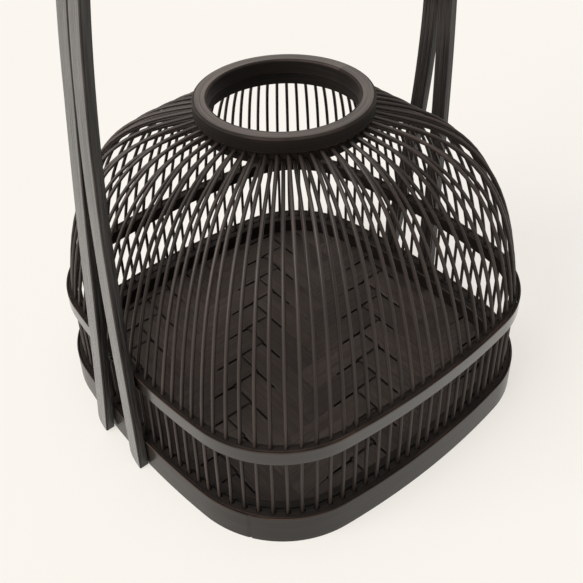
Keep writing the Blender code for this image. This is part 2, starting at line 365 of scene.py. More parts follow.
def eased(low_a, high_a, low_b, high_b, ease, skin_sides=(), steps=3, painted_shade_corners=()):
    """Rectangle with rounded corners as (a, b, worn, skin) entries.

    It runs from high_b down the low_a side; skin sides are 0 for the low_a side, 1 for low_b,
    2 for high_a and 3 for high_b. The flat of side n starts at entry n * (steps + 1) + steps,
    after corner n. Corners listed in the last argument border a narrow gap and are painted
    black as shade.
    """
    corners = ((low_a + ease, high_b - ease, 90), (low_a + ease, low_b + ease, 180),
               (high_a - ease, low_b + ease, 270), (high_a - ease, high_b - ease, 0))
    entries = []
    for number, (a, b, start) in enumerate(corners):
        for k in range(steps + 1):
            angle = math.radians(start + 90 * k / steps)
            flat = k == steps
            skin = 1.0 if number in skin_sides and flat else 0.0
            worn = math.sin(math.pi * k / steps)
            # painted shade: a rounded corner by a narrow gap is coloured black and gets no rub
            if number in painted_shade_corners and not flat:
                skin, worn = -1.0, 0.0
            entries.append((a + ease * math.cos(angle), b + ease * math.sin(angle), worn, skin))
    return entries


def group(name, inputs):
    """A geometry node tree with a mesh in and out and these named inputs."""
    tree = bpy.data.node_groups.new(name, "GeometryNodeTree")
    tree.interface.new_socket("Layout", in_out="INPUT", socket_type="NodeSocketGeometry")
    for label, kind in inputs:
        tree.interface.new_socket(label, in_out="INPUT", socket_type=kind)
    tree.interface.new_socket("Piece", in_out="OUTPUT", socket_type="NodeSocketGeometry")
    given = add(tree, "NodeGroupInput").outputs
    return tree, given


# Stained bamboo. Split culms are planed, bent over heat, dyed nearly black and waxed, so
# the eye sees long thin fibre lines that follow each bend, a waxed sheen on the outer skin
# that turns silvery where the light grazes it, a duller and more lined cut face, and a
# paler rub along the edges. The real fibres are about 0.3 mm apart. The finest lines here
# are about twice as coarse, so that they show, with broader streaks over them.

def bamboo(name, skin, cut, rub, skin_rough, cut_rough, gloss, line, relief, contrast=0.8):
    """Material of one bamboo finish; line is the spacing of the fibre lines in metres.

    Gloss is (specular level, amount of wax over the skin, its roughness, its IOR).
    """
    mat = bpy.data.materials.new(name)
    mat.use_nodes = True
    tree = mat.node_tree
    tree.nodes.clear()
    grain = add(tree, "ShaderNodeAttribute", attribute_name="grain").outputs["Vector"]
    worn = add(tree, "ShaderNodeAttribute", attribute_name="worn").outputs["Fac"]
    tone = add(tree, "ShaderNodeAttribute", attribute_name="tone").outputs["Fac"]
    on_skin = add(tree, "ShaderNodeAttribute", attribute_name="skin").outputs["Fac"]
    lines_at = add(tree, "ShaderNodeVectorMath",
                   {0: grain, 1: (1 / line, 1 / line, 1 / 0.030)}, operation="MULTIPLY")
    lines = add(tree, "ShaderNodeTexNoise",
                {"Vector": lines_at.outputs[0], "Scale": 0.5, "Detail": 3.0,
                 "Roughness": 0.6}).outputs["Fac"]
    fibre_at = add(tree, "ShaderNodeVectorMath",
                   {0: grain, 1: (2.6 / line, 2.6 / line, 1 / 0.012)}, operation="MULTIPLY")
    fibres = add(tree, "ShaderNodeTexNoise",
                 {"Vector": fibre_at.outputs[0], "Scale": 0.5, "Detail": 2.0}).outputs["Fac"]
    clouds = add(tree, "ShaderNodeTexNoise",
                 {"Vector": grain, "Scale": 28.0, "Detail": 3.0}).outputs["Fac"]
    sharper = add(tree, "ShaderNodeMapRange",
                  {"Value": lines, "From Min": 0.34, "From Max": 0.66,
                   "To Min": 1 - contrast / 2, "To Max": 1 + contrast / 2})
    cloudy = add(tree, "ShaderNodeMapRange",
                 {"Value": clouds, "From Min": 0.3, "From Max": 0.7,
                  "To Min": 0.82, "To Max": 1.18})
    # tone varies each piece at random, and on the woven strips it also carries painted shade where
    # a strip runs under others
    toned = calc(tree, "MULTIPLY_ADD", tone, 0.22, 1.0)
    value = calc(tree, "MULTIPLY", sharper.outputs[0], cloudy.outputs[0])
    value = calc(tree, "MULTIPLY", value, toned)
    # painted shade: where skin is -1, in bores and narrow gaps, the colour is made black
    in_light = calc(tree, "ADD", on_skin, 1.0, use_clamp=True)
    value = calc(tree, "MULTIPLY", value, in_light)
    plain = add(tree, "ShaderNodeMix", {0: on_skin, 6: linear(cut), 7: linear(skin)},
                data_type="RGBA")
    varied = add(tree, "ShaderNodeHueSaturation",
                 {"Color": plain.outputs[2], "Value": value})
    patchy = add(tree, "ShaderNodeMapRange",
                 {"Value": clouds, "From Min": 0.42, "From Max": 0.62,
                  "To Min": 0.15, "To Max": 0.75})
    rubbed = calc(tree, "MULTIPLY", worn, patchy.outputs[0])
    coloured = add(tree, "ShaderNodeMix", {0: rubbed, 6: varied.outputs[0], 7: linear(rub)},
                   data_type="RGBA")
    rough = add(tree, "ShaderNodeMix", {0: on_skin, 2: cut_rough, 3: skin_rough},
                data_type="FLOAT")
    rough = calc(tree, "MULTIPLY_ADD", fibres, 0.16, rough.outputs[0])
    height = calc(tree, "MULTIPLY_ADD", fibres, 0.5, lines)
    strength = calc(tree, "MULTIPLY_ADD", on_skin, -0.40, 0.9)
    bump = add(tree, "ShaderNodeBump", {"Height": height, "Distance": relief,
                                        "Strength": strength})
    level, wax, wax_rough, wax_ior = gloss
    shader = add(tree, "ShaderNodeBsdfPrincipled",
                 {"Base Color": coloured.outputs[2], "Roughness": rough,
                  "Normal": bump.outputs[0], "Specular IOR Level": level,
                  "Coat Roughness": wax_rough, "Coat IOR": wax_ior})
    if wax:
        waxed = calc(tree, "MULTIPLY", on_skin, wax)
        tree.links.new(waxed, shader.inputs["Coat Weight"])
        tree.links.new(bump.outputs[0], shader.inputs["Coat Normal"])
    add(tree, "ShaderNodeOutputMaterial", {"Surface": shader.outputs[0]})
    return mat


hoop_finish = bamboo("stained_bamboo_hoop_skin", "#1d1815", "#1b1410", "#5e4b41",
                     0.30, 0.55, (0.10, 1.0, 0.15, 1.52), 0.0009, 0.00008, 0.7)
# on the rings the skin colour shows only on the top of the mouth ring; it is paler than the cut
# colour partly by the finish and partly as painted light from above
ring_finish = bamboo("stained_bamboo_cut_ring", "#4c433f", "#15100d", "#4a3d37",
                     0.42, 0.50, (0.12, 0.45, 0.30, 1.5), 0.0008, 0.00014, 1.0)
splint_finish = bamboo("stained_bamboo_round_splint", "#312925", "#312925", "#40332d",
                       0.30, 0.30, (0.25, 0.0, 0.1, 1.5), 0.0006, 0.00004, 0.7)
slat_finish = bamboo("stained_bamboo_slat_skin", "#2f2c29", "#262220", "#4a413c",
                     0.34, 0.55, (0.22, 1.0, 0.22, 1.8), 0.0007, 0.00060, 1.8)
# the near-black cut colour is painted shade: it colours the side walls of the strips, down in the
# joints of the weave
strip_finish = bamboo("stained_bamboo_flat_strip", "#352e2a", "#050404", "#2c2623",
                      0.60, 0.80, (0.12, 0.0, 0.1, 1.5), 0.0008, 0.00006, 0.7)

# base hoop: the facing band runs once round and its ends overlap in a long scarf
SCARF_TURN = 0.6115
SCARF_LENGTH = 0.026
SCARF_EDGE = 0.00055       # thickness of the outer end at its blunt edge
SCARF_COVER = 0.86         # share of the scarf that the inner end fills
SCARF_CLEAR = 0.00004
STEP_IN = 0.0016           # the band steps in under its outer end over this length
BASE_BAND_WAX = 0.5        # share of the wax; the base band is duller than the mid band


def base_facing_band():
    overlap = SCARF_LENGTH / LINE_LENGTH
    inner_end = 1.0 + overlap * SCARF_COVER
    places = list(np.linspace(0.0, overlap, 14))
    places += list(np.linspace(overlap, 1.0, BAND_STEPS)[1:-1])
    places += [1.0 - STEP_IN / LINE_LENGTH, 1.0] + list(np.linspace(1.0, inner_end, 12)[1:])
    places = sorted(set(round(p, 9) for p in places))
    solid, sections, profiles = Solid(), [], []
    for place in places:
        low, high, taper = 0.0, BAND_THICK, BAND_THICK - SCARF_EDGE
        if place < overlap:
            high = SCARF_EDGE + taper * place / overlap
        if place >= 1.0:
            low = SCARF_EDGE + taper * (place - 1.0) / overlap + SCARF_CLEAR
        ease = min(BAND_EASE, (high - low) * 0.45)
        profile = [(p, z, worn, skin * BASE_BAND_WAX)
                   for p, z, worn, skin in eased(low, high, 0.0, BASE_TOP, ease, (0,))]
        sections.append([on_hoop(SCARF_TURN + place, p, z) for p, z, _, _ in profile])
        profiles.append(profile)
    solid.sweep(sections, profiles, [p * LINE_LENGTH for p in places])
    solid.finish("base_facing_band", hoop_finish, "stained_bamboo_hoop", ["base_band"])


def plain_hoop(name, inset, width, bottom, top, ease, steps, material, slot, nodes,
               skin_sides=(), painted_shade_corners=()):
    profile = eased(inset, inset + width, bottom, top, ease, skin_sides, painted_shade_corners=painted_shade_corners)
    turns = (np.arange(steps) + 0.5) / steps
    solid = Solid()
    solid.sweep([[on_hoop(t, p, z) for p, z, _, _ in profile] for t in turns], profile,
                [LINE_LENGTH * i / steps for i in range(steps + 1)], closed=True)
    solid.finish(name, material, slot, nodes)


def bored_sweep(solid, position, length, profile, sides, axis, middles, radii, depth, steps=2):
    """Closed sweep of a ring with one bore for each splint in its named flat sides.

    Axis tells which of the two section coordinates runs across the bored side. With two
    sides the bores go through from the first to the second; else they end after depth.
    """
    count = SPLINT_COUNT * steps
    turns = (np.arange(count) / steps - 0.5) / SPLINT_COUNT
    along = [length * (i / steps - 0.5) / SPLINT_COUNT for i in range(count + 1)]
    first = solid.sweep([[position(t, p, q) for p, q, _, _ in profile] for t in turns],
                        profile, along, closed=True, without=sides)
    size = len(profile)

    def rim_at(turn, level, middle, shrink):
        rim = []
        for h in range(BORE_SIDES):
            angle = 2 * math.pi * (h + 0.5) / BORE_SIDES
            u, v = radii[0] * shrink * math.cos(angle), radii[1] * shrink * math.sin(angle)
            pair = [level, level]
            pair[axis] = middle + v
            number = solid.point(position(turn + u / length, *pair))
            rim.append((number, (*pair, length * turn + u), (u, v)))
        return rim

    for i in range(SPLINT_COUNT):
        turn, middle, rims = i / SPLINT_COUNT, middles[i % len(middles)], []
        for side in sides:
            following = (side + 1) % size
            border = []
            for k, order in ((side, range(steps + 1)), (following, range(steps, -1, -1))):
                for s in order:
                    number = first + ((i * steps + s) % count) * size + k
                    u = length * (s / steps - 0.5) / SPLINT_COUNT
                    border.append((number, (*profile[k][:2], length * turn + u),
                                   (u, profile[k][axis] - middle)))
            rims.append(rim_at(turn, profile[side][1 - axis], middle, 1.0))
            solid.zip_loops(border, rims[-1])
        # the walls and bottom of each bore get skin -1: painted black shade inside the bore
        if len(sides) == 1:
            rims.append(rim_at(turn, profile[sides[0]][1 - axis] - depth, middle, 0.9))
            solid.face([entry[0] for entry in rims[1]], [entry[1] for entry in rims[1]], -1.0)
        for h in range(BORE_SIDES):
            quad = (rims[0][h], rims[0][(h + 1) % BORE_SIDES],
                    rims[1][(h + 1) % BORE_SIDES], rims[1][h])
            solid.face([entry[0] for entry in quad], [entry[1] for entry in quad], -1.0)


def base_and_mid_hoops():
    base_facing_band()
    # the inner top corner borders the gap to the floor frame and is painted black as shade
    profile = eased(BASE_RING_INSET, BASE_RING_INSET + BASE_RING_WIDTH, 0.0, BASE_RING_TOP,
                    RING_EASE, painted_shade_corners=(3,))
    solid = Solid()
    top_side = len(profile) - 1
    bored_sweep(solid, on_hoop, LINE_LENGTH, profile, (top_side,), 0, (SPLINT_INSET,),
                (FOOT_BORE, FOOT_BORE), FOOT_DEPTH)
    solid.finish("base_ring_with_bores", ring_finish, "stained_bamboo_ring", ["base_ring"])
    # the outer top corner borders the same gap and is painted black as shade
    plain_hoop("floor_frame_hoop", FRAME_INSET, FRAME_WIDTH, FRAME_BOTTOM, BASE_RING_TOP,
               FRAME_EASE, FRAME_STEPS, ring_finish, "stained_bamboo_ring", ["floor_frame"],
               painted_shade_corners=(0,))
    plain_hoop("mid_facing_band", MID_SHRINK, BAND_THICK, MID_BOTTOM, MID_TOP, BAND_EASE,
               BAND_STEPS, hoop_finish, "stained_bamboo_hoop", ["mid_band"], (0,))
    profile = eased(MID_RING_INSET, MID_RING_INSET + MID_RING_WIDTH, MID_BOTTOM, MID_TOP - LIP,
                    RING_EASE)
    solid, under_side = Solid(), len(profile) // 2 - 1
    bored_sweep(solid, on_hoop, LINE_LENGTH, profile, (under_side, top_side), 0, (SPLINT_INSET,),
                (MID_BORE, MID_BORE), 0.0)
    solid.finish("mid_ring_with_bores", ring_finish, "stained_bamboo_ring", ["splint_cage"])


def mouth_rings():
    # mouth ring: bent strips glued into one, so the fibre lines run round it
    inner = MOUTH_OUTER - MOUTH_WIDTH
    # the top face is skin and the rest cut face: the paler top and dark sides are partly the
    # finish and partly painted light from above
    profile = eased(inner, MOUTH_OUTER, MOUTH_UNDERSIDE, MOUTH_TOP, MOUTH_EASE, (3,), steps=4)
    solid, length = Solid(), 2 * math.pi * (MOUTH_OUTER + inner) / 2
    solid.sweep([[on_ring(i / MOUTH_STEPS, p, z) for p, z, _, _ in profile]
                 for i in range(MOUTH_STEPS)],
                profile, [length * i / MOUTH_STEPS for i in range(MOUTH_STEPS + 1)], closed=True)
    solid.finish("mouth_ring_laminated", ring_finish, "stained_bamboo_ring", ["mouth_ring"])
    profile = eased(COLLAR_OUTER - COLLAR_WALL, COLLAR_OUTER, COLLAR_BOTTOM, COLLAR_TOP,
                    COLLAR_EASE)
    solid, outer_side = Solid(), len(profile) * 3 // 4 - 1
    bored_sweep(solid, on_ring, 2 * math.pi * COLLAR_OUTER, profile, (outer_side,), 1,
                (MOUTH_UNDERSIDE - LOW_ROW_DROP, MOUTH_UNDERSIDE - HIGH_ROW_DROP),
                COLLAR_BORE, COLLAR_BORE_DEPTH)
    solid.finish("collar_ring_with_bores", ring_finish, "stained_bamboo_ring", ["collar_ring"])


def splint_paths():
    """Axis points of every splint from its bore in the base ring to its bore in the collar."""
    turns = np.arange(SPLINT_COUNT) / SPLINT_COUNT
    feet = outline(turns, SPLINT_INSET)
    reach = COLLAR_OUTER + CLEAR + SPLINT_RADIUS * math.sin(DOME_END_SLOPE)
    tops = reach * np.stack((np.cos(2 * math.pi * turns), np.sin(2 * math.pi * turns)), -1)
    spans = np.linalg.norm(feet - tops, axis=1)
    start = MID_TOP - LIP
    paths = []
    for i in range(SPLINT_COUNT):
        foot = Vector((*feet[i], 0.0))
        top = Vector((*tops[i], 0.0))
        out = (foot - top).normalized()
        end = MOUTH_UNDERSIDE - (HIGH_ROW_DROP if i % 2 == 1 else LOW_ROW_DROP)
        extra = spans[i] - spans[0]
        lean = DOME_START_LEAN + DOME_START_LEAN_GROWTH * extra
        rise = (DOME_START_RISE + DOME_START_RISE_GROWTH * extra) * (end - start)
        pull = (DOME_END_PULL + DOME_END_PULL_GROWTH * extra) * spans[i]
        p0 = foot + Vector((0, 0, start))
        p1 = p0 + out * lean + Vector((0, 0, rise))
        p3 = top + Vector((0, 0, end))
        p2 = p3 + out * pull - Vector((0, 0, pull * math.tan(DOME_END_SLOPE)))
        path = [(foot + Vector((0, 0, z)), 0.0)
                for z in (BASE_RING_TOP - FOOT_SUNK, BASE_RING_TOP)]
        for k in range(1, 6):
            z = BASE_RING_TOP + (MID_BOTTOM - BASE_RING_TOP) * k / 6
            path.append((foot + Vector((0, 0, z)), math.sin(math.pi * k / 6)))
        path += [(foot + Vector((0, 0, z)), 0.0) for z in (MID_BOTTOM, start)]
        for k in range(1, DOME_STEPS + 1):
            t = k / DOME_STEPS
            u = 1 - t
            path.append((u ** 3 * p0 + 3 * u * u * t * p1 + 3 * u * t * t * p2 + t ** 3 * p3,
                         math.sin(math.pi * t)))
        inwards = (p3 - p2).normalized()
        path.append((p3 + inwards * (CLEAR + TOP_SUNK), 0.0))
        paths.append(path)
    return paths


def splint_tree():
    """Round splints along the lines of the layout, each with a slight sway of its own."""
    tree, given = group("round_splints", (("Radius", "NodeSocketFloat"),
                                          ("Sides", "NodeSocketInt"),
                                          ("Sway", "NodeSocketFloat"),
                                          ("Seed", "NodeSocketInt")))
    field = {name: add(tree, "GeometryNodeInputNamedAttribute", {"Name": name}, data_type=kind)
             for name, kind in (("free", "FLOAT"), ("number", "INT"), ("around", "FLOAT_VECTOR"),
                                ("length", "FLOAT"))}
    free, number, around, length = (field[name].outputs[0]
                                    for name in ("free", "number", "around", "length"))
    spot = add(tree, "GeometryNodeInputPosition").outputs[0]
    apart = calc(tree, "MULTIPLY", number, SWAY_APART)
    noise = add(tree, "ShaderNodeTexNoise",
                {"Vector": spot, "W": apart, "Scale": SWAY_SCALE, "Detail": 0.0},
                noise_dimensions="4D")
    level = add(tree, "ShaderNodeVectorMath", {0: noise.outputs["Color"], 1: (0.5, 0.5, 0.5)},
                operation="SUBTRACT")
    most = calc(tree, "MULTIPLY", given["Sway"], free)
    shift = add(tree, "ShaderNodeVectorMath", {0: level.outputs[0], "Scale": most},
                operation="SCALE")
    swayed = add(tree, "GeometryNodeSetPosition", {"Geometry": given["Layout"],
                                                   "Offset": shift.outputs[0]})
    tones = add(tree, "FunctionNodeRandomValue", {2: -1.0, 3: 1.0, "ID": number,
                                                  "Seed": given["Seed"]}, data_type="FLOAT")
    toned = add(tree, "GeometryNodeStoreNamedAttribute",
                {"Geometry": swayed.outputs[0], "Name": "tone", "Value": tones.outputs[1]},
                data_type="FLOAT", domain="POINT")
    curves = add(tree, "GeometryNodeMeshToCurve", {"Mesh": toned.outputs[0]})
    run = add(tree, "GeometryNodeSplineParameter")
    measured = add(tree, "GeometryNodeStoreNamedAttribute",
                   {"Geometry": curves.outputs[0], "Name": "length",
                    "Value": run.outputs["Length"]}, data_type="FLOAT", domain="POINT")
    circle = add(tree, "GeometryNodeCurvePrimitiveCircle",
                 {"Resolution": given["Sides"], "Radius": given["Radius"]})
    circle = add(tree, "GeometryNodeStoreNamedAttribute",
                 {"Geometry": circle.outputs[0], "Name": "around", "Value": spot},
                 data_type="FLOAT_VECTOR", domain="POINT")
    rods = add(tree, "GeometryNodeCurveToMesh",
               {"Curve": measured.outputs[0], "Profile Curve": circle.outputs[0],
                "Fill Caps": True})
    apart_lines = calc(tree, "MULTIPLY_ADD", number, GRAIN_APART, length)
    parts = add(tree, "ShaderNodeSeparateXYZ", {0: around})
    place = add(tree, "ShaderNodeCombineXYZ", {0: parts.outputs[0], 1: parts.outputs[1],
                                               2: apart_lines})
    grained = add(tree, "GeometryNodeStoreNamedAttribute",
                  {"Geometry": rods.outputs[0], "Name": "grain", "Value": place.outputs[0]},
                  data_type="FLOAT_VECTOR", domain="POINT")
    whole = add(tree, "GeometryNodeRealizeInstances", {"Geometry": grained.outputs[0]})
    done = add(tree, "GeometryNodeSetMaterial", {"Geometry": whole.outputs[0],
                                                 "Material": splint_finish})
    add(tree, "NodeGroupOutput", {0: done.outputs[0]})
    return tree


def splints():
    layout = bpy.data.meshes.new("splint_lines")
    points, edges, free, number = [], [], [], []
    for i, path in enumerate(splint_paths()):
        base = len(points)
        points.extend(tuple(p) for p, _ in path)
        free.extend(f for _, f in path)
        number.extend([i] * len(path))
        edges.extend((base + k, base + k + 1) for k in range(len(path) - 1))
    layout.from_pydata(points, edges, [])
    layout.attributes.new("free", "FLOAT", "POINT").data.foreach_set("value", free)
    layout.attributes.new("number", "INT", "POINT").data.foreach_set("value", number)
    mesh = grown(layout, splint_tree(), {"Radius": SPLINT_RADIUS, "Sides": SPLINT_SIDES,
                                         "Sway": SPLINT_SWAY, "Seed": SPLINT_SEED})
    settle("round_splints", mesh, ["splint_cage"], 60)


def strip_layout():
    """Flat strips trimmed to the floor outline, with the phase of the weave at each point."""
    rim = outline(np.linspace(0, 1, 721), FRAME_INSET + STRIP_END_INSET)
    across = (-1.0, -0.93, -0.80, -0.4, 0.0, 0.4, 0.80, 0.93, 1.0)
    in_cell = (0.02, 0.06, 0.22, 0.40, 0.60, 0.78, 0.94, 0.98)
    points, faces, phase, side, grain, tone = [], [], [], [], [], []
    rng = random.Random(11)

    def ends(origin, run):
        """Lengths along run, from origin, where the line meets the rim."""
        normal = np.array((-run[1], run[0]))
        height = (rim - origin) @ normal
        cut = np.nonzero(height[:-1] * height[1:] < 0)[0]
        if len(cut) < 2:
            return None
        part = height[cut] / (height[cut] - height[cut + 1])
        hits = rim[cut] + (rim[cut + 1] - rim[cut]) * part[:, None]
        lengths = (hits - origin) @ run
        return lengths.min(), lengths.max()

    lean = np.array((WEAVE_SKEW, 1.0)) / math.hypot(WEAVE_SKEW, 1.0)
    corner = np.array((WEAVE_X, WEAVE_Y))
    kinds = ((lean, np.array((1.0, 0.0)), PITCH_X, PITCH_Y / lean[1], 0.0, 0.5,
              {5: 0.45, 0: 1.0}, {0: 0.45}),
             (np.array((1.0, 0.0)), np.array((0.0, 1.0)), PITCH_Y, PITCH_X, WEAVE_SKEW, -4.5,
              {4: 0.45, 5: 1.0}, {5: 0.45}))
    for number in range(-STRIP_ROWS, STRIP_ROWS):
        for run, step, pitch, cell, skew, first, open_low, open_high in kinds:
            lines = []
            for a in across:
                reach = (number + 0.5) * pitch + a * (pitch - STRIP_GAP) / 2
                limits = ends(corner + step * reach, run)
                if limits is not None and limits[1] - limits[0] > SHORTEST_STRIP:
                    lines.append((a, reach, [(s - skew * reach) / cell for s in limits]))
            if len(lines) < 3:
                continue
            low = max(limits[0] for _, _, limits in lines) + END_CELLS
            high = min(limits[1] for _, _, limits in lines) - END_CELLS
            shared = [j + part for j in range(-STRIP_ROWS - 1, STRIP_ROWS + 1)
                      for part in in_cell if low < j + part < high]
            if not shared:
                shared = [(low + high) / 2]
            base, shade, shift = len(points), rng.uniform(-1, 1), rng.uniform(0, 5)
            for a, reach, limits in lines:
                head = [limits[0] + (shared[0] - limits[0]) * k / 3 for k in range(3)]
                tail = [shared[-1] + (limits[1] - shared[-1]) * k / 3 for k in range(1, 4)]
                for u in head + shared + tail:
                    cells = (math.floor(u) - number) % (2 * FLOAT_CELLS)
                    moved = reach - a * OPEN_GAP * (open_low if a < 0 else open_high).get(cells, 0)
                    s = u * cell + skew * reach
                    spot = corner + step * moved + run * s
                    turn = (u - number + first + FLOAT_CELLS) % (2 * FLOAT_CELLS) - FLOAT_CELLS
                    points.append((spot[0], spot[1], 0.0))
                    phase.append(turn)
                    side.append(a)
                    grain.append((a * pitch / 2 + shift, 0.0, s + shift))
                    # the strip's random tone where it lies on top, and painted shade where it runs
                    # under others
                    tone.append(shade if abs(turn) < FLOAT_CELLS / 2 else UNDER_PAINTED_SHADE)
            count = len(shared) + 6
            for line in range(len(lines) - 1):
                for k in range(count - 1):
                    a = base + line * count + k
                    b = a + count
                    faces.append((a, b, b + 1, a + 1) if first > 0 else (a, a + 1, b + 1, b))
    mesh = bpy.data.meshes.new("strips_flat")
    mesh.from_pydata(points, [], faces)
    for label, kind, values in (("phase", "FLOAT", phase), ("side", "FLOAT", side),
                                ("tone", "FLOAT", tone), ("grain", "FLOAT_VECTOR", grain)):
        layer = mesh.attributes.new(label, kind, "POINT")
        layer.data.foreach_set("vector" if kind == "FLOAT_VECTOR" else "value",
                               np.asarray(values, np.float32).ravel())
    return mesh


def weave_tree():
    """Lifts flat strips over and under one another and gives them their thickness."""
    tree, given = group("over_three_under_three", (("Thickness", "NodeSocketFloat"),
                                                   ("Lift", "NodeSocketFloat"),
                                                   ("Bow", "NodeSocketFloat"),
                                                   ("Edge drop", "NodeSocketFloat"),
                                                   ("Height", "NodeSocketFloat")))
    field = {name: add(tree, "GeometryNodeInputNamedAttribute", {"Name": name},
                       data_type="FLOAT").outputs[0] for name in ("phase", "side")}
    half_float = FLOAT_CELLS / 2
    wrapped = calc(tree, "WRAP", field["phase"], float(FLOAT_CELLS), -float(FLOAT_CELLS))
    away = calc(tree, "ABSOLUTE", wrapped)
    dive = add(tree, "ShaderNodeMapRange",
               {"Value": away, "From Min": half_float - DIVE_CELLS,
                "From Max": half_float + DIVE_CELLS, "To Min": given["Lift"],
                "To Max": calc(tree, "MULTIPLY", given["Lift"], -1.0)},
               interpolation_type="SMOOTHSTEP")
    wave = calc(tree, "COSINE", calc(tree, "MULTIPLY", away, math.pi / FLOAT_CELLS))
    height = calc(tree, "MULTIPLY_ADD", wave, given["Bow"], dive.outputs[0])
    edge = calc(tree, "POWER", calc(tree, "ABSOLUTE", field["side"]), EDGE_POWER)
    edge = calc(tree, "MULTIPLY", edge, given["Edge drop"])
    height = calc(tree, "SUBTRACT", height, edge)
    height = calc(tree, "ADD", height, given["Height"])
    raised = add(tree, "ShaderNodeCombineXYZ", {2: height})
    woven = add(tree, "GeometryNodeSetPosition", {"Geometry": given["Layout"],
                                                  "Offset": raised.outputs[0]})
    tops = add(tree, "GeometryNodeStoreNamedAttribute",
               {"Geometry": woven.outputs[0], "Name": "skin", "Value": 1.0},
               data_type="FLOAT", domain="FACE")
    under = add(tree, "GeometryNodeFlipFaces", {0: tops.outputs[0]})
    sunk = add(tree, "ShaderNodeCombineXYZ", {2: -1.0})
    walls = add(tree, "GeometryNodeExtrudeMesh",
                {"Mesh": under.outputs[0], "Offset": sunk.outputs[0],
                 "Offset Scale": given["Thickness"], "Individual": False}, mode="FACES")
    # the walls take the near-black cut colour, painted shade in the joints
    cut = add(tree, "GeometryNodeStoreNamedAttribute",
              {"Geometry": walls.outputs["Mesh"], "Selection": walls.outputs["Side"],
               "Name": "skin", "Value": 0.0}, data_type="FLOAT", domain="FACE")
    both = add(tree, "GeometryNodeJoinGeometry")
    tree.links.new(tops.outputs[0], both.inputs[0])
    tree.links.new(cut.outputs[0], both.inputs[0])
    merged = add(tree, "GeometryNodeMergeByDistance", {"Geometry": both.outputs[0],
                                                       "Distance": WELD})
    whole = add(tree, "GeometryNodeRealizeInstances", {"Geometry": merged.outputs[0]})
    done = add(tree, "GeometryNodeSetMaterial", {"Geometry": whole.outputs[0],
                                                 "Material": strip_finish})
    add(tree, "NodeGroupOutput", {0: done.outputs[0]})
    return tree


def woven_floor():
    low, high = floor_panel_box[0].z, floor_panel_box[1].z
    mesh = grown(strip_layout(), weave_tree(),
                 {"Thickness": STRIP_THICK, "Lift": WEAVE_LIFT, "Bow": WEAVE_BOW,
                  "Edge drop": WEAVE_EDGE_DROP, "Height": high - WEAVE_DROP})
    settle("floor_woven_strips", mesh, ["floor_panel"], 35)
    solid, turns = Solid(), (np.arange(FRAME_STEPS) + 0.5) / FRAME_STEPS
    under, over = ([(solid.point(on_hoop(t, FRAME_INSET, z)), on_hoop(t, FRAME_INSET, z))
                    for t in turns] for z in (low, low + BACKING_THICK))
    quads = [(under[i - 1], under[i], over[i], over[i - 1]) for i in range(FRAME_STEPS)]
    for corners in quads + [under, over]:
        solid.face([c[0] for c in corners], [c[1] for c in corners])
    # the board under the weave takes the near-black cut colour of the strips: partly the stain,
    # partly painted shade seen through the joints
    solid.finish("floor_backing_panel", strip_finish, "woven_bamboo_floor", ["floor_panel"])


LEG_PARTS = 14
ARCH_PARTS = 120
TOE_PARTS = 8
SLAT_OUTER_EASE = 0.0010
SLAT_INNER_EASE = 0.0004
TOE_EASE = 2.2             # the edges get sharper where the toe is under 1 / 2.2 as wide
SIDE_WAX = 0.3             # share of the wax on the planed sides
GROOVES = 8                # split fibres along the inner face, about 1 mm apart
GROOVE_DEPTH = (0.00012, 0.00034)
GROOVE_PLACE = (0.30, 0.70)    # in shares of the spacing, as is the half width
GROOVE_HALF = 0.28
GROOVE_WORN = 0.3


def handle_line():
    """Centre line of the handle from the -X leg end to the +X leg end."""
    toe = [LEG_BOTTOM + TOE_HEIGHT * (1 - math.cos(math.pi / 2 * k / TOE_PARTS))
           for k in range(TOE_PARTS)]
    bottom = LEG_BOTTOM + TOE_HEIGHT
    leg = [bottom + (ARCH_START - bottom) * k / LEG_PARTS for k in range(LEG_PARTS)]
    half = [Vector((LEG_OUT, 0.0, z)) for z in toe + leg]
    for k in range(ARCH_PARTS // 2 + 1):
        angle = math.pi / 2 * k / (ARCH_PARTS / 2)
        c, s = math.cos(angle), math.sin(angle)
        size = (c ** ARCH_SQUARENESS + s ** ARCH_SQUARENESS) ** (-1 / ARCH_SQUARENESS)
        half.append(Vector((LEG_OUT * c * size, 0.0, ARCH_START + ARCH_RISE * s * size)))
    return [Vector((-p.x, 0.0, p.z)) for p in half] + list(reversed(half[:-1]))


